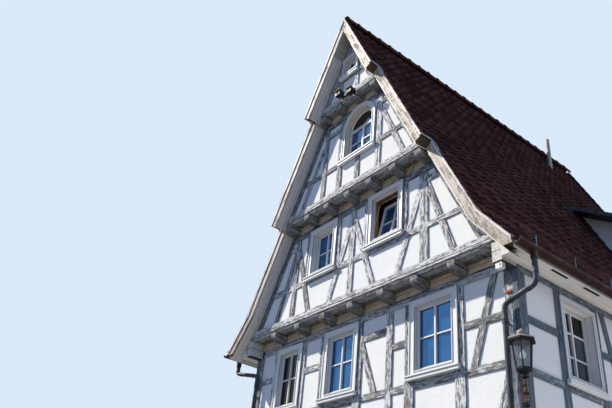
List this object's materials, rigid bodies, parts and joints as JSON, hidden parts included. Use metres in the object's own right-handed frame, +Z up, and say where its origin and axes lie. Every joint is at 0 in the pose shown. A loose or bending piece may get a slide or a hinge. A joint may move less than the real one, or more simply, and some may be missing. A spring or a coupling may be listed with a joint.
{
  "type": "half timbered house",
  "caption": "Half timbered gable house: masonry ground floor, jettied timber storeys, stepped verges, steep tiled roof with a shed dormer, gutters and a corner lantern.",
  "frame": {"origin": "middle of the ground floor slab's underside, on the ground", "axes": "+Z up, -Y the way the jettied gable faces, +X to the right seen from in front"},
  "size_m": [8.0722, 8.998, 13.7027],
  "materials": {
    "timber": "weathered grey",
    "plaster": "matt lime wash, lightly stained",
    "paint": "white paint, peeling on the verge boards",
    "tiles": "weathered clay",
    "stone": "rough",
    "copper": "aged brown",
    "zinc": "dull",
    "iron": "black paint",
    "glass": "clear"
  },
  "bodies": {
    "root": {"ground_slab": "stone", "plinth": "stone", "ground_wall_front": "plaster", "ground_wall_back": "plaster", "ground_wall_left": "plaster", "ground_wall_right": "plaster", "entrance_door": "timber", "first_floor": "timber", "storey_frame_front": "timber", "storey_frame_left": "timber", "storey_frame_right": "timber", "storey_panels_front": "plaster", "storey_panels_left": "plaster", "storey_panels_right": "plaster", "attic_floor": "timber", "upper_attic_floor": "timber", "top_attic_floor": "timber", "gable_frame_lower": "timber", "gable_frame_middle": "timber", "gable_frame_upper": "timber", "gable_panels_lower": "plaster", "gable_panels_middle": "plaster", "gable_panels_upper": "plaster", "storey_frame_back": "timber", "storey_panels_back": "plaster", "back_gable_frame": "timber", "back_gable_panels": "plaster", "roof_left": "tiles", "roof_right": "tiles", "ridge_cap": "tiles", "verge_lower": "paint", "verge_middle": "paint", "verge_upper": "paint", "verge_back": "paint", "eaves_left": "paint", "eaves_right": "paint", "gutters": "copper", "downpipes": "zinc", "dormer_walls": "plaster", "dormer_roof": "zinc", "windows_front": "paint", "windows_gable": "paint", "windows_sides": "paint", "windows_back": "paint", "glass_front": "glass", "glass_sides": "glass", "glass_back": "glass", "lantern": "iron", "lantern_glass": "glass", "flue_pipe": "zinc", "snow_guard": "iron", "gable_lamps": "iron"}
  },
  "joints": []
}
